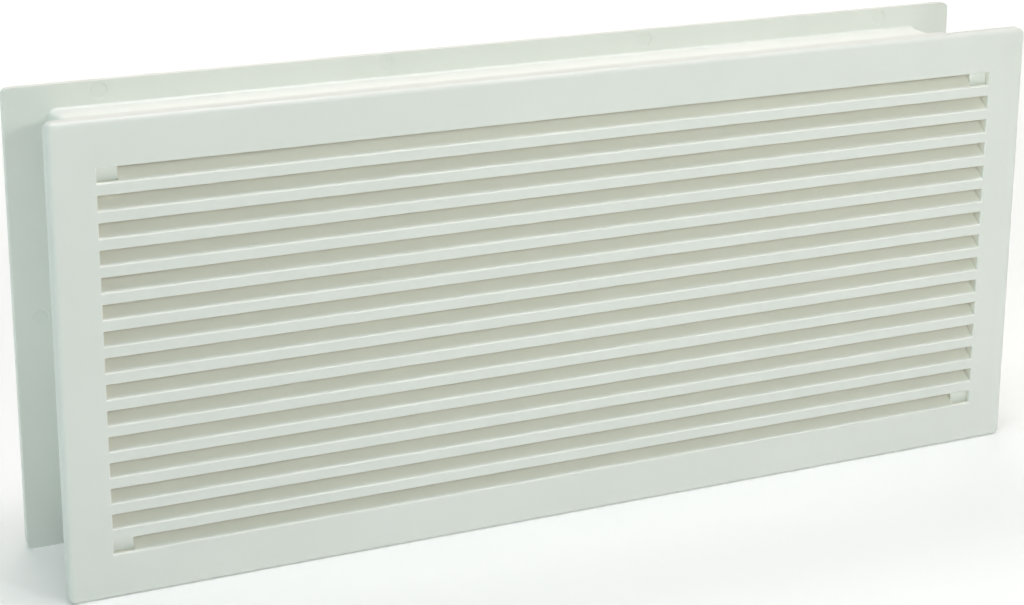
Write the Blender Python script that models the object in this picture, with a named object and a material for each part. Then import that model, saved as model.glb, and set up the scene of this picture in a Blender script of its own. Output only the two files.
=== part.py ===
"""Two-part louvred door ventilation grille, moulded in white plastic.

A front half and a rear half sit on the two faces of a door leaf. Each is one moulding: a flange,
a field of sloping louvre blades, a sleeve that lines the cut-out in the door and four screw posts.
The rear sleeve slides inside the front one, so the pair suits doors of different thickness, and
four screws driven from the rear hold the halves together.

Frame: metres, X across the grille, the front faces -Y, Z up, origin at the bottom centre.
"""

import math

import bmesh
import bpy
from mathutils import Matrix

# Flanges, as seen on the room side of each half.
FLANGE_WIDTH = 0.450
FLANGE_HEIGHT = 0.197
FLANGE_THICKNESS = 0.0055
FLANGE_CORNER_RADIUS = 0.0030
FLANGE_EDGE_RADIUS = 0.0020

# Clear space between the flanges: as built, and the thinnest door leaf that fits.
DOOR_SPACE = 0.0568
THINNEST_DOOR = 0.0410

# Louvre field: openings, and the blades that rise inwards behind them.
OPENING_COUNT = 15
OPENING_PITCH = 0.01095
OPENING_HEIGHT = 0.0060
SIDE_BAR = 0.0185
BLADE_SLOPE = math.radians(40.0)
BLADE_THICKNESS = 0.0020
BLADE_DEPTH = 0.0110
FACE_THICKNESS = 0.0030
SLAT_LIP_THICKNESS = 0.0018
SLAT_TOP_RADIUS = 0.0011
OPENING_EDGE_RADIUS = 0.0005

# Sleeves: the front one outside, the rear one sliding in it.
SLEEVE_WALL = 0.0019
SLEEVE_CLEARANCE = 0.0004
SLEEVE_ABOVE_FIELD = 0.0088
SLEEVE_CORNER_RADIUS = 0.0030
SLEEVE_ROOT_CHAMFER = 0.0008
FRONT_SLEEVE_LENGTH = 0.0340
SHOULDER = 0.0005

# Screw posts behind the ends of the first and last openings.
POST_WIDTH = 0.0089
POST_BORDER = 0.0015
POST_RECESS = 0.0028
FRONT_POST_LENGTH = 0.0265
POST_END_GAP = 0.0005
BORE_FLOOR = 0.0018

# Screws.
SCREW_DIAMETER = 0.0029
SCREW_LENGTH = 0.0410
SCREW_TIP_LENGTH = 0.0035
SCREW_TIP_DIAMETER = 0.0008
SCREW_HEAD_DIAMETER = 0.0052
SCREW_HEAD_HEIGHT = 0.0019
SCREW_INSET = 0.0053
RECESS_WIDTH = 0.0008
RECESS_SPAN = 0.0028
RECESS_DEPTH = 0.0010

# Round dished marks left by the mould on the door side of the flanges.
MARK_DEPTH = 0.0004
MARK_WALL = 0.0006
MARK_SPACING = 0.1240
MARK_EDGE_GAP = 0.0004
MARK_MARGIN = 0.0006
MARK_LARGEST_RADIUS = 0.0038
SIDE_MARK_INSET = 0.0105
SIDE_MARK_RAISE = 0.0022

# Working gap between pieces that touch, and how far joined forms run into each other.
FIT_GAP = 0.0003
OVERLAP = 0.0005
CUT_MARGIN = 0.0010
ARC_STEPS = 6
ROUND_FRONT_STEPS = (0.05, 0.19, 0.41, 0.69, 1.0)
ROUND_STEPS = 24

SLAT_HEIGHT = OPENING_PITCH - OPENING_HEIGHT
FIELD_HEIGHT = OPENING_COUNT * OPENING_PITCH - SLAT_HEIGHT
BLADE_RISE = math.tan(BLADE_SLOPE)
BLADE_DROP = BLADE_THICKNESS / math.cos(BLADE_SLOPE)
DEPTH = DOOR_SPACE + 2.0 * FLANGE_THICKNESS

WHITE_PLASTIC = (0.80, 0.81, 0.77, 1.0)
ZINC = (0.62, 0.63, 0.65, 1.0)


class Half:
    """Sizes that follow from the driving dimensions for one half, in that half's own frame."""

    def __init__(self, is_front):
        """Work out one half.

        Its own frame has the room side of the flange at y = 0, the door at +Y and z = 0 at mid-height.
        """
        inset = 0.0 if is_front else SLEEVE_CLEARANCE + SLEEVE_WALL
        self.is_front = is_front
        self.name = "front_half" if is_front else "rear_half"
        self.field_x = FLANGE_WIDTH / 2.0 - SIDE_BAR - inset
        self.sleeve_inner_x = self.field_x + SHOULDER
        self.sleeve_inner_z = FIELD_HEIGHT / 2.0 + SLEEVE_ABOVE_FIELD - inset
        blade_room = BLADE_DEPTH - FLANGE_THICKNESS + POST_END_GAP
        self.sleeve_length = FRONT_SLEEVE_LENGTH if is_front else THINNEST_DOOR - blade_room
        self.post_length = FRONT_POST_LENGTH if is_front else (
            THINNEST_DOOR - FRONT_POST_LENGTH - POST_END_GAP)
        self.sleeve_end = FLANGE_THICKNESS + self.sleeve_length
        self.post_end = FLANGE_THICKNESS + self.post_length
        if is_front:
            self.placement = Matrix.Translation((0.0, -DEPTH / 2.0, FLANGE_HEIGHT / 2.0))
        else:
            self.placement = (Matrix.Translation((0.0, DEPTH / 2.0, FLANGE_HEIGHT / 2.0))
                              @ Matrix.Diagonal((-1.0, -1.0, 1.0, 1.0)))


def clear_scene():
    """Remove every object from the file."""
    for item in list(bpy.data.objects):
        bpy.data.objects.remove(item, do_unlink=True)


def add_material(name, colour, roughness, metallic):
    """Return a new material with a Principled BSDF of the given look."""
    material = bpy.data.materials.new(name)
    material.use_nodes = True
    shader = next(node for node in material.node_tree.nodes if node.type == "BSDF_PRINCIPLED")
    shader.inputs["Base Color"].default_value = colour
    shader.inputs["Roughness"].default_value = roughness
    shader.inputs["Metallic"].default_value = metallic
    material.diffuse_color = colour
    return material


def mesh_object(name, bm, placement):
    """Turn a bmesh into an object of the scene, moved by the placement matrix."""
    bmesh.ops.recalc_face_normals(bm, faces=bm.faces[:])
    mesh = bpy.data.meshes.new(name)
    bm.to_mesh(mesh)
    bm.free()
    mesh.transform(placement)
    item = bpy.data.objects.new(name, mesh)
    bpy.context.scene.collection.objects.link(item)
    return item


def add_loft(bm, rings):
    """Add a closed solid through rings of points that all have the same count."""
    loops = [[bm.verts.new(point) for point in ring] for ring in rings]
    count = len(loops[0])
    for first, second in zip(loops, loops[1:]):
        for i in range(count):
            j = (i + 1) % count
            bm.faces.new((first[i], first[j], second[j], second[i]))
    bm.faces.new(list(reversed(loops[0])))
    bm.faces.new(loops[-1])


def rectangle(x_low, x_high, z_low, z_high, y):
    """Return the four corners of a rectangle in the plane y."""
    return [(x_low, y, z_low), (x_high, y, z_low), (x_high, y, z_high), (x_low, y, z_high)]


def rounded_rectangle(half_x, half_z, radius, y):
    """Return a rectangle about the origin with rounded corners, in the plane y."""
    points = []
    for quarter, (sx, sz) in enumerate(((1, 1), (-1, 1), (-1, -1), (1, -1))):
        for step in range(ARC_STEPS + 1):
            angle = (quarter + step / ARC_STEPS) * math.pi / 2.0
            points.append((sx * (half_x - radius) + radius * math.cos(angle), y,
                           sz * (half_z - radius) + radius * math.sin(angle)))
    return points


def add_box(bm, x_range, y_range, z_range):
    """Add a box between pairs of limits."""
    add_loft(bm, [rectangle(*x_range, *z_range, y) for y in y_range])


def circle(x, z, radius, y):
    """Return a circle in the plane y."""
    return [(x + radius * math.cos(2.0 * math.pi * i / ROUND_STEPS), y,
             z + radius * math.sin(2.0 * math.pi * i / ROUND_STEPS)) for i in range(ROUND_STEPS)]


def add_boolean(target, tool, operation):
    """Join or cut the target with a tool object that is left out of the part."""
    tool.hide_render = True
    tool.display_type = "WIRE"
    modifier = target.modifiers.new(tool.name, "BOOLEAN")
    modifier.operation = operation
    modifier.solver = "EXACT"
    modifier.object = tool


def flange_solid(half):
    """Build the flange, its outer edge rounded towards the room."""
    rings = []
    for step in range(ARC_STEPS + 1):
        angle = step / ARC_STEPS * math.pi / 2.0
        inset = FLANGE_EDGE_RADIUS * (1.0 - math.sin(angle))
        rings.append(rounded_rectangle(FLANGE_WIDTH / 2.0 - inset, FLANGE_HEIGHT / 2.0 - inset,
                                       FLANGE_CORNER_RADIUS - inset,
                                       FLANGE_EDGE_RADIUS * (1.0 - math.cos(angle))))
    rings.append(rounded_rectangle(FLANGE_WIDTH / 2.0, FLANGE_HEIGHT / 2.0,
                                   FLANGE_CORNER_RADIUS, FLANGE_THICKNESS))
    bm = bmesh.new()
    add_loft(bm, rings)
    return mesh_object(half.name, bm, half.placement)


def sleeve_solid(half):
    """Build the outside of the sleeve, with a small chamfer where it meets the flange."""
    outer_x = half.sleeve_inner_x + SLEEVE_WALL
    outer_z = half.sleeve_inner_z + SLEEVE_WALL
    flare = SLEEVE_ROOT_CHAMFER
    foot = flare + OVERLAP
    rings = [
        rounded_rectangle(outer_x + foot, outer_z + foot, SLEEVE_CORNER_RADIUS + foot,
                          FLANGE_THICKNESS - OVERLAP),
        rounded_rectangle(outer_x, outer_z, SLEEVE_CORNER_RADIUS, FLANGE_THICKNESS + flare),
        rounded_rectangle(outer_x, outer_z, SLEEVE_CORNER_RADIUS, half.sleeve_end),
    ]
    bm = bmesh.new()
    add_loft(bm, rings)
    return mesh_object(half.name + "_sleeve", bm, half.placement)


def sleeve_bore(half):
    """Build the space inside the sleeve, from the back of the blades to its open end."""
    radius = SLEEVE_CORNER_RADIUS - SLEEVE_WALL
    rings = [rounded_rectangle(half.sleeve_inner_x, half.sleeve_inner_z, radius, y)
             for y in (BLADE_DEPTH, half.sleeve_end + CUT_MARGIN)]
    bm = bmesh.new()
    add_loft(bm, rings)
    return mesh_object(half.name + "_bore", bm, half.placement)


def rounding(y, radius):
    """Return how far a rounded edge stands back at depth y behind the face."""
    if y >= radius:
        return 0.0
    reach = radius - max(y, 0.0)
    return radius - math.sqrt(radius * radius - reach * reach)


def slat_top(y, edge):
    """Return the height of a slat's top at depth y: a rounded front edge, then the blade's slope."""
    if y >= SLAT_TOP_RADIUS:
        return edge + (y - SLAT_TOP_RADIUS) * BLADE_RISE
    reach = SLAT_TOP_RADIUS - max(y, 0.0)
    return edge - SLAT_TOP_RADIUS + math.sqrt(SLAT_TOP_RADIUS ** 2 - reach ** 2)


def front_stations():
    """Return the depths at which the rounded front of an opening is drawn."""
    return [-CUT_MARGIN] + sorted({0.0, OPENING_EDGE_RADIUS,
                                   *(SLAT_TOP_RADIUS * part for part in ROUND_FRONT_STEPS)})


def passages(half):
    """Build the air passages between the blades, and the hollow under the lowest blade.

    The first and last passages stop at the screw posts.
    """
    bm = bmesh.new()
    for index in range(OPENING_COUNT):
        edge = FIELD_HEIGHT / 2.0 - OPENING_HEIGHT - index * OPENING_PITCH
        roof = edge + OPENING_HEIGHT
        is_top = index == 0
        at_post = is_top or index == OPENING_COUNT - 1
        back = FACE_THICKNESS if is_top else SLAT_LIP_THICKNESS
        rings = []
        for y in front_stations() + [back]:
            flare = rounding(y, OPENING_EDGE_RADIUS)
            end = half.field_x - POST_WIDTH if at_post else half.field_x + flare
            rings.append(rectangle(-end, end, slat_top(y, edge), roof + flare, y))
        for y in (back + FIT_GAP, BLADE_DEPTH + CUT_MARGIN):
            top = half.sleeve_inner_z if is_top else slat_top(y, edge + OPENING_PITCH) - BLADE_DROP
            rings.append(rectangle(-end, end, slat_top(y, edge), top, y))
        add_loft(bm, rings)
    add_loft(bm, [rectangle(-half.field_x, half.field_x, -half.sleeve_inner_z,
                            slat_top(y, -FIELD_HEIGHT / 2.0) - BLADE_DROP, y)
                  for y in (FACE_THICKNESS, BLADE_DEPTH + CUT_MARGIN)])
    return mesh_object(half.name + "_passages", bm, half.placement)


def post_centres():
    """Return the screw axes as (x, z) pairs, in a frame with z = 0 at mid-height."""
    x = FLANGE_WIDTH / 2.0 - SIDE_BAR - SCREW_INSET
    z = (FIELD_HEIGHT - OPENING_HEIGHT) / 2.0
    return [(sx * x, sz * z) for sx in (-1, 1) for sz in (-1, 1)]


def posts(half):
    """Build the screw posts, each closing the end of an opening and joined to the sleeve's side."""
    bm = bmesh.new()
    inner = half.field_x - POST_WIDTH
    outer = half.sleeve_inner_x + OVERLAP
    half_z = OPENING_HEIGHT / 2.0 + POST_BORDER
    for x, z in post_centres():
        x_range = (inner, outer) if x > 0.0 else (-outer, -inner)
        add_box(bm, x_range, (POST_RECESS, half.post_end), (z - half_z, z + half_z))
    return mesh_object(half.name + "_posts", bm, half.placement)


def post_pockets(half):
    """Build the flat-floored pockets in the face, in front of the posts."""
    bm = bmesh.new()
    for x, z in post_centres():
        edge = z - OPENING_HEIGHT / 2.0
        rings = []
        for y in front_stations() + [POST_RECESS]:
            flare = rounding(y, OPENING_EDGE_RADIUS)
            limits = (half.field_x - POST_WIDTH, half.field_x + flare)
            x_range = limits if x > 0.0 else (-limits[1], -limits[0])
            rings.append(rectangle(*x_range, min(slat_top(y, edge), edge),
                                   edge + OPENING_HEIGHT + flare, y))
        add_loft(bm, rings)
    return mesh_object(half.name + "_pockets", bm, half.placement)


def post_bores(half):
    """Build the screw holes: blind from the door side in front, right through in the rear half."""
    bm = bmesh.new()
    radius = SCREW_DIAMETER / 2.0 + FIT_GAP
    start = POST_RECESS + BORE_FLOOR if half.is_front else POST_RECESS - CUT_MARGIN
    for x, z in post_centres():
        add_loft(bm, [circle(x, z, radius, y) for y in (start, half.post_end + CUT_MARGIN)])
    return mesh_object(half.name + "_bores", bm, half.placement)


def mould_marks(half):
    """Build the shallow round marks sunk, with sloping walls, in the door side of the flange."""
    root = half.sleeve_inner_z + SLEEVE_WALL + SLEEVE_ROOT_CHAMFER
    margin = FLANGE_HEIGHT / 2.0 - root
    radius = min(MARK_LARGEST_RADIUS, margin / 2.0 - MARK_MARGIN)
    z = FLANGE_HEIGHT / 2.0 - MARK_EDGE_GAP - radius
    places = [(k * MARK_SPACING / 2.0, side * z) for side in (-1, 1) for k in (-3, -1, 1, 3)]
    places += [(side * (FLANGE_WIDTH / 2.0 - SIDE_MARK_INSET), SIDE_MARK_RAISE) for side in (-1, 1)]
    bm = bmesh.new()
    for x, z_mark in places:
        add_loft(bm, [circle(x, z_mark, radius + side * MARK_WALL, FLANGE_THICKNESS + side * MARK_DEPTH)
                      for side in (-1, 1)])
    return mesh_object(half.name + "_marks", bm, half.placement)


def sleeve_slots(half):
    """Build the slots in the sides of the rear sleeve that let the front posts pass."""
    bm = bmesh.new()
    half_z = OPENING_HEIGHT / 2.0 + POST_BORDER + OVERLAP
    inner = half.field_x - CUT_MARGIN
    outer = half.sleeve_inner_x + SLEEVE_WALL + CUT_MARGIN
    for x, z in post_centres():
        x_range = (inner, outer) if x > 0.0 else (-outer, -inner)
        add_box(bm, x_range, (half.post_end + POST_END_GAP - FIT_GAP, half.sleeve_end + CUT_MARGIN),
                (z - half_z, z + half_z))
    return mesh_object(half.name + "_slots", bm, half.placement)


def build_half(is_front, material):
    """Build one half of the grille as a single moulding."""
    half = Half(is_front)
    body = flange_solid(half)
    body.data.materials.append(material)
    add_boolean(body, sleeve_solid(half), "UNION")
    add_boolean(body, sleeve_bore(half), "DIFFERENCE")
    add_boolean(body, passages(half), "DIFFERENCE")
    add_boolean(body, posts(half), "UNION")
    add_boolean(body, post_pockets(half), "DIFFERENCE")
    add_boolean(body, post_bores(half), "DIFFERENCE")
    if not is_front:
        add_boolean(body, sleeve_slots(half), "DIFFERENCE")
    add_boolean(body, mould_marks(half), "DIFFERENCE")
    return body


def screw_solid(name, x, z, placement):
    """Build one screw along +Y of the rear half's frame, its head towards the room."""
    seat = POST_RECESS - FIT_GAP
    head = SCREW_HEAD_DIAMETER / 2.0
    profile = [(head * 0.45, seat - SCREW_HEAD_HEIGHT), (head * 0.80, seat - SCREW_HEAD_HEIGHT * 0.85),
               (head, seat - SCREW_HEAD_HEIGHT * 0.45), (head, seat), (SCREW_DIAMETER / 2.0, seat),
               (SCREW_DIAMETER / 2.0, seat + SCREW_LENGTH - SCREW_TIP_LENGTH),
               (SCREW_TIP_DIAMETER / 2.0, seat + SCREW_LENGTH)]
    bm = bmesh.new()
    add_loft(bm, [circle(x, z, radius, y) for radius, y in profile])
    screw = mesh_object(name, bm, placement)
    for face in screw.data.polygons:
        face.use_smooth = len(face.vertices) == 4
    return screw


def screw_recess(name, x, z, placement):
    """Build the cross-shaped driver recess for one screw head."""
    top = POST_RECESS - FIT_GAP - SCREW_HEAD_HEIGHT
    arm, wide = RECESS_SPAN / 2.0, RECESS_WIDTH / 2.0
    cross = [(arm, -wide), (arm, wide), (wide, wide), (wide, arm), (-wide, arm), (-wide, wide),
             (-arm, wide), (-arm, -wide), (-wide, -wide), (-wide, -arm), (wide, -arm), (wide, -wide)]
    bm = bmesh.new()
    add_loft(bm, [[(x + cx, y, z + cz) for cx, cz in cross]
                  for y in (top - CUT_MARGIN, top + RECESS_DEPTH)])
    return mesh_object(name, bm, placement)


def build_screws(material):
    """Build the four screws that enter from the rear half."""
    placement = Half(False).placement
    screws = []
    for number, (x, z) in enumerate(post_centres(), start=1):
        screw = screw_solid(f"screw_{number}", x, z, placement)
        screw.data.materials.append(material)
        add_boolean(screw, screw_recess(f"screw_{number}_recess", x, z, placement), "DIFFERENCE")
        screws.append(screw)
    return screws


def main():
    """Build the whole grille."""
    clear_scene()
    build_half(True, add_material("front_white_plastic", WHITE_PLASTIC, 0.42, 0.0))
    build_half(False, add_material("rear_white_plastic", WHITE_PLASTIC, 0.42, 0.0))
    build_screws(add_material("zinc_plated_steel", ZINC, 0.35, 1.0))


main()
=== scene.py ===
"""Looks of the two-part louvred door grille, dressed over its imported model.

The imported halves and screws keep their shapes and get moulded-plastic and zinc finishes. The screw
threads are added here, and so are the floor, the studio light and the camera.
"""

import logging
import math
from collections.abc import Mapping
from dataclasses import dataclass, field
from enum import Enum
from typing import Any, Union

import bmesh
import bpy
from mathutils import Euler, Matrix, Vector


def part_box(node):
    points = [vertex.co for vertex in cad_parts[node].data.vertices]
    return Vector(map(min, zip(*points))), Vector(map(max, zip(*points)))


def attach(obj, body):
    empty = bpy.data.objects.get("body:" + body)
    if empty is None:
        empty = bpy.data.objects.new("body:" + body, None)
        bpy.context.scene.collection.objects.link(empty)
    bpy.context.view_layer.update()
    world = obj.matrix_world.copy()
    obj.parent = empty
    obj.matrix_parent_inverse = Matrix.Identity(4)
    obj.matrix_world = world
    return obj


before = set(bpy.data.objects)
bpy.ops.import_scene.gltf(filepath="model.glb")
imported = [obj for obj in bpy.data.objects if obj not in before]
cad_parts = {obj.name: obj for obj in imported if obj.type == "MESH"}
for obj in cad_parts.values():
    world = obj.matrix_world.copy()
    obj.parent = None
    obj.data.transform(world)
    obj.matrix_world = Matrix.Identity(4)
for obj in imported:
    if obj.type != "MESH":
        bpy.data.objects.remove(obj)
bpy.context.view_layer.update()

LOG = logging.getLogger("door_grille")
PHOTO_WIDTH = 1024

Colour = tuple[float, float, float]
Point = tuple[float, float, float]
Number = Union[float, "Term"]


class Side(Enum):
    """The half of the grille: its body, the way into the door, and the factor that paints the rear
    half lighter than the front, as painted bounce light.
    """

    FRONT = ("front", 1.0, 1.00)
    # The rear half's 1.08 paints it lighter than the front: painted bounce light.
    REAR = ("rear", -1.0, 1.08)

    @property
    def body(self) -> str:
        """Return the name of the rigid body."""
        return self.value[0]

    @property
    def node(self) -> str:
        """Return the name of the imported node."""
        return self.body + "_half"

    @property
    def inward(self) -> float:
        """Return the sign of the direction along Y that leads into the door."""
        return self.value[1]

    def shade(self, colour: Colour) -> Colour:
        """Return a colour scaled by the half's factor, which paints the rear half lighter as painted
        bounce light.
        """
        return tuple(self.value[2] * channel for channel in colour)


class Term:
    """A number in a shader, which adds its Math nodes as it takes part in Python arithmetic."""

    def __init__(self, tree: "ShaderTree", socket: bpy.types.NodeSocket) -> None:
        """Wrap the output socket that holds the number, in the tree that new nodes go into."""
        self.tree = tree
        self.socket = socket

    def _math(self, operation: str, *values: Number) -> "Term":
        """Add one Math node, fed with the values in order, and return its result."""
        node = self.tree.node("ShaderNodeMath", {"operation": operation}, dict(enumerate(values)))
        return Term(self.tree, node.outputs[0])

    def __add__(self, other: Number) -> "Term":
        """Return the sum."""
        return self._math("ADD", self, other)

    def __radd__(self, other: Number) -> "Term":
        """Return the sum, with the plain number on the left."""
        return self._math("ADD", other, self)

    def __sub__(self, other: Number) -> "Term":
        """Return the difference."""
        return self._math("SUBTRACT", self, other)

    def __rsub__(self, other: Number) -> "Term":
        """Return the difference, with the plain number on the left."""
        return self._math("SUBTRACT", other, self)

    def __mul__(self, other: Number) -> "Term":
        """Return the product."""
        return self._math("MULTIPLY", self, other)

    def __rmul__(self, other: Number) -> "Term":
        """Return the product, with the plain number on the left."""
        return self._math("MULTIPLY", other, self)

    def __abs__(self) -> "Term":
        """Return the size of the number."""
        return self._math("ABSOLUTE", self)

    def step(self, low: float, high: float) -> "Term":
        """Return a smooth step.

        Args:
            low: The value where the step starts, at 0.
            high: The value where it ends, at 1.

        Returns:
            The step, from 0 to 1.
        """
        node = self.tree.node("ShaderNodeMapRange", {"interpolation_type": "SMOOTHSTEP"},
                              {"Value": self, "From Min": low, "From Max": high})
        return Term(self.tree, node.outputs["Result"])


class ShaderTree:
    """The nodes of one material."""

    def __init__(self, name: str) -> None:
        """Start a material with its Principled shader.

        Args:
            name: The material's name.
        """
        self.material = bpy.data.materials.new(name)
        self.material.use_nodes = True
        self.tree = self.material.node_tree
        self.shader = next(n for n in self.tree.nodes if n.type == "BSDF_PRINCIPLED")

    def feed(self, socket: bpy.types.NodeSocket, value: Any) -> None:
        """Give a socket its link or its constant.

        Args:
            socket: The input socket.
            value: A Term, an output socket, a number, a colour or a vector.
        """
        if isinstance(value, Term):
            self.tree.links.new(value.socket, socket)
        elif isinstance(value, bpy.types.NodeSocket):
            self.tree.links.new(value, socket)
        elif isinstance(value, tuple) and socket.type == "RGBA" and len(value) == 3:
            socket.default_value = (*value, 1.0)
        else:
            socket.default_value = value

    def node(self, kind: str, settings: Mapping[str, Any] | None = None,
             sockets: Mapping[str | int, Any] | None = None) -> bpy.types.Node:
        """Add any node.

        Args:
            kind: The node's type name.
            settings: Its properties, set first.
            sockets: What its input sockets hold, by name or index.

        Returns:
            The new node.
        """
        node = self.tree.nodes.new(kind)
        for name, value in (settings or {}).items():
            setattr(node, name, value)
        for key, value in (sockets or {}).items():
            self.feed(node.inputs[key], value)
        return node

    def place(self) -> bpy.types.NodeSocket:
        """Return the point on the piece in its own metres."""
        return self.node("ShaderNodeTexCoord").outputs["Object"]

    def axes(self) -> tuple[Term, Term, Term]:
        """Return the point's X, Y and Z as numbers."""
        split = self.node("ShaderNodeSeparateXYZ", None, {"Vector": self.place()})
        return tuple(Term(self, output) for output in split.outputs)

    def facing(self) -> Term:
        """Measure how squarely the surface faces along the door's thickness.

        Returns:
            0 for a surface along that direction, 1 for one square to it.
        """
        normal = self.node("ShaderNodeTexCoord").outputs["Normal"]
        split = self.node("ShaderNodeSeparateXYZ", None, {"Vector": normal})
        return abs(Term(self, split.outputs["Y"]))

    def stretched(self, scale: Point) -> bpy.types.NodeSocket:
        """Return the point, scaled by a factor along each of X, Y and Z."""
        return self.node("ShaderNodeVectorMath", {"operation": "MULTIPLY"},
                         {0: self.place(), 1: scale}).outputs["Vector"]

    def noise(self, size: float, detail: float = 2.0, roughness: float = 0.5,
              point: bpy.types.NodeSocket | None = None) -> Term:
        """Return noise from 0 to 1.

        Args:
            size: The size of its features in metres, or in the point's own unit.
            detail: The number of finer octaves.
            roughness: How strong the finer octaves are.
            point: The point to read, the piece's own by default.

        Returns:
            The noise.
        """
        node = self.node("ShaderNodeTexNoise", None,
                         {"Vector": point or self.place(), "Scale": 1.0 / size, "Detail": detail,
                          "Roughness": roughness})
        return Term(self, node.outputs[0])

    def mix(self, factor: Number, first: Any, second: Any) -> bpy.types.NodeSocket:
        """Return a blend of two colours.

        Args:
            factor: 0 for the first colour, 1 for the second.
            first: A colour or a colour socket.
            second: A colour or a colour socket.

        Returns:
            The blended colour.
        """
        node = self.node("ShaderNodeMix", {"data_type": "RGBA"})
        colours = [socket for socket in node.inputs if socket.type == "RGBA"]
        self.feed(node.inputs[0], factor)
        self.feed(colours[0], first)
        self.feed(colours[1], second)
        return next(socket for socket in node.outputs if socket.type == "RGBA")

    def bump(self, height: Term, distance: float) -> bpy.types.NodeSocket:
        """Return a normal bent by a height, where 1 stands for the distance in metres."""
        return self.node("ShaderNodeBump", None,
                         {"Distance": distance, "Height": height}).outputs["Normal"]

    def dress(self, **sockets: Any) -> bpy.types.Material:
        """Fill the shader's sockets and return the material.

        Args:
            sockets: Values or links by socket name, with _ for a space.

        Returns:
            The material.
        """
        for name, value in sockets.items():
            self.feed(self.shader.inputs[name.replace("_", " ")], value)
        return self.material


@dataclass(frozen=True)
class MouldedPlastic:
    """Satin white moulded plastic, with a painted highlight on the slats' rounded edges and painted
    creamy bounce light in the slots.
    """

    side: Side
    face_y: float
    white: Colour = (0.820, 0.825, 0.785)
    cloud: Colour = (0.800, 0.806, 0.764)
    # Painted highlight: a paler colour on the slats' rounded front edges, just behind the face.
    painted_edge_highlight: Colour = (0.965, 0.955, 0.905)
    highlight_start: float = 0.00004
    highlight_end: float = 0.00020
    # Painted bounce light: a brighter, creamier colour deeper in the slots.
    painted_slot_bounce: Colour = (0.985, 0.945, 0.850)
    bounce_start: float = 0.0008
    bounce_end: float = 0.0025
    field_half_width: float = 0.2065
    rear_inset: float = 0.0023
    field_low: float = 0.0186
    field_high: float = 0.1784
    side_blur: float = 0.0008
    edge_blur: float = 0.0005
    tilted: float = 0.88
    upright: float = 0.98
    cloud_size: float = 0.060
    cloud_low: float = 0.35
    cloud_high: float = 0.70
    grain_size: float = 0.00050
    grain_depth: float = 0.000012
    grain_gloss: float = 0.06
    sink_size: float = 0.022
    sink_depth: float = 0.000060
    wear_size: float = 0.009
    wear_low: float = 0.30
    wear_high: float = 0.75
    gloss_low: float = 0.36
    gloss_high: float = 0.50
    refraction: float = 1.49
    specular: float = 0.5

    def painted_light_masks(self, tree: ShaderTree) -> tuple[Term, Term]:
        """Return the masks of the painted highlight and the painted bounce light, 0 on upright faces
        and outside the louvre field.

        Args:
            tree: The material's tree.

        Returns:
            The mask of the painted highlight, 1 from the slats' front edges inwards, and the mask of
            the painted bounce light, 1 deeper in.
        """
        across, along, up = tree.axes()
        depth = (along - self.face_y) * self.side.inward
        half_width = self.field_half_width
        if self.side is Side.REAR:
            half_width -= self.rear_inset
        inside = 1.0 - abs(across).step(half_width, half_width + self.side_blur)
        inside = inside * up.step(self.field_low - self.edge_blur, self.field_low)
        inside = inside * (1.0 - up.step(self.field_high, self.field_high + self.edge_blur))
        inside = inside * (1.0 - tree.facing().step(self.tilted, self.upright))
        return (depth.step(self.highlight_start, self.highlight_end) * inside,
                depth.step(self.bounce_start, self.bounce_end) * inside)

    def material(self, name: str) -> bpy.types.Material:
        """Build the material.

        Args:
            name: Its name.

        Returns:
            The material.
        """
        tree = ShaderTree(name)
        clouds = tree.noise(self.cloud_size, detail=3.0).step(self.cloud_low, self.cloud_high)
        # The body colour, painted lighter on the rear half as painted bounce light.
        body = tree.mix(clouds, self.side.shade(self.white), self.side.shade(self.cloud))
        highlight_mask, bounce_mask = self.painted_light_masks(tree)
        # Over the body colour: a painted highlight on the slats' rounded edges, and painted creamy
        # bounce light deeper in the slots.
        colour = tree.mix(bounce_mask, tree.mix(highlight_mask, body, self.painted_edge_highlight), self.painted_slot_bounce)
        grain = tree.noise(self.grain_size, detail=2.0, roughness=0.55)
        sinks = tree.noise(self.sink_size, detail=1.0)
        worn = tree.noise(self.wear_size, detail=4.0, roughness=0.62)
        worn = worn.step(self.wear_low, self.wear_high)
        gloss = self.gloss_low + worn * (self.gloss_high - self.gloss_low)
        height = grain + sinks * (self.sink_depth / self.grain_depth)
        return tree.dress(Base_Color=colour, Roughness=gloss + (grain - 0.5) * self.grain_gloss,
                          Normal=tree.bump(height, self.grain_depth), IOR=self.refraction,
                          Specular_IOR_Level=self.specular)


@dataclass(frozen=True)
class ZincPlate:
    """Bright zinc plating on turned steel, with a faint yellow and blue passivation."""

    grey: Colour = (0.66, 0.67, 0.69)
    warm: Colour = (0.70, 0.68, 0.60)
    cool: Colour = (0.58, 0.64, 0.72)
    film_size: float = 0.0016
    warm_end: tuple[float, float] = (0.30, 0.50)
    cool_end: tuple[float, float] = (0.52, 0.72)
    turning_size: float = 0.00012
    turning_length: float = 0.025
    turning_depth: float = 0.000006
    spot_size: float = 0.0007
    spot_range: tuple[float, float] = (0.45, 0.80)
    gloss_low: float = 0.22
    gloss_high: float = 0.42

    def material(self, name: str) -> bpy.types.Material:
        """Build the material.

        Args:
            name: Its name.

        Returns:
            The material.
        """
        tree = ShaderTree(name)
        film = tree.noise(self.film_size, detail=3.0)
        tint = tree.mix(film.step(*self.warm_end), self.warm, self.grey)
        tint = tree.mix(film.step(*self.cool_end), tint, self.cool)
        turning = tree.noise(1.0, detail=1.0, point=tree.stretched(
            (1.0 / self.turning_length, 1.0 / self.turning_size, 1.0 / self.turning_length)))
        spots = tree.noise(self.spot_size, detail=3.0, roughness=0.6).step(*self.spot_range)
        gloss = self.gloss_low + spots * (self.gloss_high - self.gloss_low)
        return tree.dress(Base_Color=tint, Metallic=1.0, Roughness=gloss,
                          Normal=tree.bump(turning, self.turning_depth))


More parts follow.
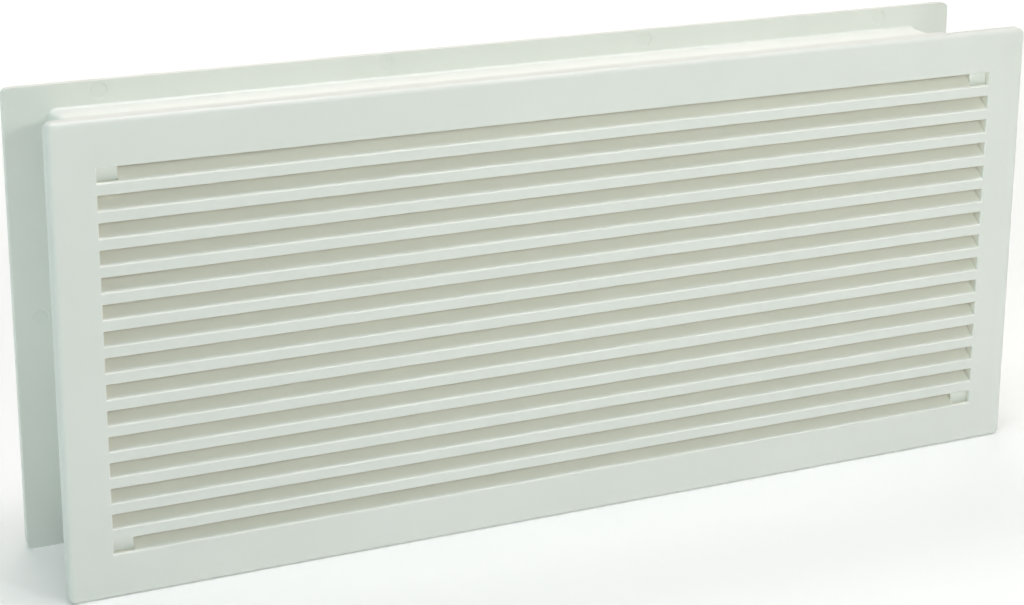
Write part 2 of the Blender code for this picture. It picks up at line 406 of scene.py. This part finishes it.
@dataclass(frozen=True)
class PaleFloor:
    """Matt white studio board that glows, faintly in front of the grille and more elsewhere."""

    white: Colour = (0.93, 0.93, 0.93)
    shade: Colour = (0.915, 0.915, 0.915)
    mottle_size: float = 0.35
    glow: float = 0.80
    near_glow: Colour = (0.135, 0.135, 0.135)
    far_glow: Colour = (1.0, 1.0, 1.0)
    dim_centre_y: float = -0.90
    glow_start: float = 1.05
    glow_end: float = 2.40
    roughness: float = 0.85
    specular: float = 0.2

    def material(self, name: str) -> bpy.types.Material:
        """Build the material.

        Args:
            name: Its name.

        Returns:
            The material.
        """
        tree = ShaderTree(name)
        colour = tree.mix(tree.noise(self.mottle_size), self.white, self.shade)
        across, along, _ = tree.axes()
        along = along - self.dim_centre_y
        away = (across * across + along * along).step(self.glow_start ** 2, self.glow_end ** 2)
        return tree.dress(Base_Color=colour, Roughness=self.roughness,
                          Specular_IOR_Level=self.specular,
                          Emission_Color=tree.mix(away, self.near_glow, self.far_glow),
                          Emission_Strength=self.glow)


def dress_node(name: str, material: bpy.types.Material) -> bpy.types.Object:
    """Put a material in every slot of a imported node.

    Args:
        name: The node's name.
        material: The material it gets.

    Returns:
        The node's object.
    """
    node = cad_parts[name]
    if not node.material_slots:
        node.data.materials.append(material)
    for slot in node.material_slots:
        slot.material = material
    LOG.info("%s: dressed in %s", name, material.name)
    return node


def new_piece(name: str, bm: bmesh.types.BMesh, material: bpy.types.Material,
              smooth: bool = True) -> bpy.types.Object:
    """Turn a bmesh into an object of the scene.

    Args:
        name: The object's name.
        bm: Its mesh, which is freed.
        material: Its material.
        smooth: Whether its faces are shaded smooth.

    Returns:
        The new object.
    """
    mesh = bpy.data.meshes.new(name)
    bm.to_mesh(mesh)
    bm.free()
    mesh.materials.append(material)
    for face in mesh.polygons:
        face.use_smooth = smooth
    piece = bpy.data.objects.new(name, mesh)
    bpy.context.scene.collection.objects.link(piece)
    LOG.info("%s: %d faces", name, len(mesh.polygons))
    return piece


@dataclass
class GrilleHalf:
    """One moulded half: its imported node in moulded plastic."""

    side: Side

    def build(self) -> bpy.types.Object:
        """Dress the half.

        Returns:
            The half's object.
        """
        low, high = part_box(self.side.node)
        face_y = low[1] if self.side is Side.FRONT else high[1]
        finish = MouldedPlastic(self.side, face_y)
        return dress_node(self.side.node, finish.material(self.side.node + "_satin_white"))


@dataclass
class ScrewSet:
    """The four thread-forming screws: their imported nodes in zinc, and a thread on each shank."""

    names: tuple[str, ...] = ("screw_1", "screw_2", "screw_3", "screw_4")
    shank_radius: float = 0.00145
    crest_height: float = 0.00020
    root_sink: float = 0.00006
    pitch: float = 0.0011
    flank: float = 0.00030
    plain_neck: float = 0.0060
    tip_length: float = 0.0035
    steps_per_turn: int = 24
    finish: ZincPlate = field(default_factory=ZincPlate)

    def thread(self, name: str, material: bpy.types.Material) -> bpy.types.Object:
        """Wind a thread ridge round one screw's shank.

        Args:
            name: The screw's node.
            material: The thread's material.

        Returns:
            The thread's object.
        """
        low, high = (Vector(corner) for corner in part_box(name))
        axis = (low + high) / 2.0
        start, end = low.y + self.tip_length, high.y - self.plain_neck
        turns = (end - start) / self.pitch
        count = int(turns * self.steps_per_turn)
        bm = bmesh.new()
        rings = []
        for i in range(count + 1):
            angle = i * 2.0 * math.pi / self.steps_per_turn
            fade = min(1.0, i / self.steps_per_turn, (count - i) / self.steps_per_turn)
            centre_y = start + (end - start) * i / count
            profile = ((-self.root_sink, -self.flank), (self.crest_height * fade, 0.0),
                       (-self.root_sink, self.flank))
            rings.append([bm.verts.new((axis.x + (self.shank_radius + out) * math.cos(angle),
                                        centre_y + along,
                                        axis.z + (self.shank_radius + out) * math.sin(angle)))
                          for out, along in profile])
        for first, second in zip(rings, rings[1:]):
            for a, b in ((0, 1), (1, 2), (2, 0)):
                bm.faces.new((first[a], first[b], second[b], second[a]))
        bm.faces.new(rings[0])
        bm.faces.new(list(reversed(rings[-1])))
        bmesh.ops.recalc_face_normals(bm, faces=bm.faces[:])
        return new_piece(name + "_thread", bm, material, smooth=False)

    def build(self) -> list[bpy.types.Object]:
        """Dress the screws and add their threads.

        Returns:
            The threads.
        """
        material = self.finish.material("zinc_plate")
        threads = []
        for name in self.names:
            dress_node(name, material)
            thread = self.thread(name, material)
            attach(thread, Side.REAR.body)
            threads.append(thread)
        return threads


@dataclass
class Studio:
    """The floor and the surrounding glow."""

    profile: tuple[tuple[float, float], ...] = (
        (0.5, 0.0), (2.0, 0.0), (8.0, 0.0), (17.0, 0.0), (18.5, 0.10), (19.4, 0.40), (20.0, 1.10))
    segments: int = 64
    glow: Colour = (0.67, 1.00, 0.88)
    glow_strength: float = 0.06

    def floor(self) -> bpy.types.Object:
        """Lay the floor under the grille, a wide disc that curves up at its rim.

        Returns:
            The floor's object.
        """
        bm = bmesh.new()
        step = 2.0 * math.pi / self.segments
        rings = [[bm.verts.new((radius * math.cos(i * step), radius * math.sin(i * step), height))
                  for i in range(self.segments)] for radius, height in self.profile]
        bm.faces.new(rings[0])
        for inner, outer in zip(rings, rings[1:]):
            for i in range(self.segments):
                bm.faces.new((inner[i - 1], outer[i - 1], outer[i], inner[i]))
        floor = new_piece("studio_floor", bm, PaleFloor().material("studio_board"))
        return floor

    def surround(self) -> None:
        """Light the scene evenly from all round."""
        world = bpy.data.worlds.new("studio_glow")
        world.use_nodes = True
        background = next(n for n in world.node_tree.nodes if n.type == "BACKGROUND")
        background.inputs["Color"].default_value = (*self.glow, 1.0)
        background.inputs["Strength"].default_value = self.glow_strength
        bpy.context.scene.world = world


@dataclass(frozen=True)
class SoftBox:
    """One soft light that points at the grille."""

    name: str
    place: Point
    width: float
    height: float
    power: float
    colour: Colour
    target: Point = (0.0, 0.0, 0.10)

    def build(self) -> bpy.types.Object:
        """Hang the light.

        Returns:
            The light's object.
        """
        data = bpy.data.lights.new(self.name, "AREA")
        data.shape = "RECTANGLE"
        data.size, data.size_y = self.width, self.height
        data.energy = self.power
        data.color = self.colour
        light = bpy.data.objects.new(self.name, data)
        light.location = self.place
        towards = Vector(self.target) - Vector(self.place)
        light.rotation_euler = towards.to_track_quat("-Z", "Y").to_euler()
        bpy.context.scene.collection.objects.link(light)
        LOG.info("%s: %.1f W", self.name, self.power)
        return light


@dataclass(frozen=True)
class PhotoCamera:
    """The camera, in the place and with the lens that the photograph's edges give."""

    place: Point = (-0.47543, -0.97101, 0.44161)
    turn: Point = (1.25515, -0.02273, -0.49652)
    focal_pixels: float = 2595.0
    shift: tuple[float, float] = (-0.1491, -0.0029)
    sensor: float = 36.0
    nearest: float = 0.05
    farthest: float = 50.0

    def build(self) -> bpy.types.Object:
        """Set the camera up as the scene's own.

        Returns:
            The camera's object.
        """
        data = bpy.data.cameras.new("photo_camera")
        data.sensor_fit = "HORIZONTAL"
        data.sensor_width = self.sensor
        data.lens = self.focal_pixels * self.sensor / PHOTO_WIDTH
        data.shift_x, data.shift_y = self.shift
        data.clip_start, data.clip_end = self.nearest, self.farthest
        camera = bpy.data.objects.new("photo_camera", data)
        camera.location = self.place
        camera.rotation_euler = Euler(self.turn, "XYZ")
        bpy.context.scene.collection.objects.link(camera)
        bpy.context.scene.camera = camera
        return camera


LIGHTS = (
    SoftBox("key_light", (0.32, -1.00, 0.52), 0.20, 0.20, 2.8, (0.93, 1.0, 0.91)),
    SoftBox("right_light", (0.90, -0.75, 1.90), 0.50, 0.50, 2.4, (1.0, 0.98, 0.83)),
    SoftBox("overhead_light", (0.0, -0.12, 1.60), 1.20, 0.60, 7.6, (1.0, 0.97, 1.0)),
    SoftBox("front_top_light", (0.1, -0.30, 1.90), 1.40, 0.35, 9.3, (1.0, 0.94, 0.98)),
    SoftBox("back_light", (0.2, 1.20, 1.80), 1.60, 1.00, 17.7, (1.0, 0.955, 0.887)),
    SoftBox("side_light", (-2.0, -0.30, 0.60), 1.00, 0.80, 5.6, (0.56, 1.0, 0.945)),
    SoftBox("front_fill", (-0.9, -2.00, 0.90), 1.20, 0.90, 3.0, (0.60, 0.95, 1.0)),
)


def main() -> None:
    """Build the scene piece by piece."""
    logging.basicConfig(level=logging.INFO, format="%(message)s")
    for side in Side:
        GrilleHalf(side).build()
    ScrewSet().build()
    studio = Studio()
    studio.floor()
    studio.surround()
    for light in LIGHTS:
        light.build()
    PhotoCamera().build()
    bpy.context.scene.view_settings.view_transform = "Standard"


if __name__ == "__main__":
    main()
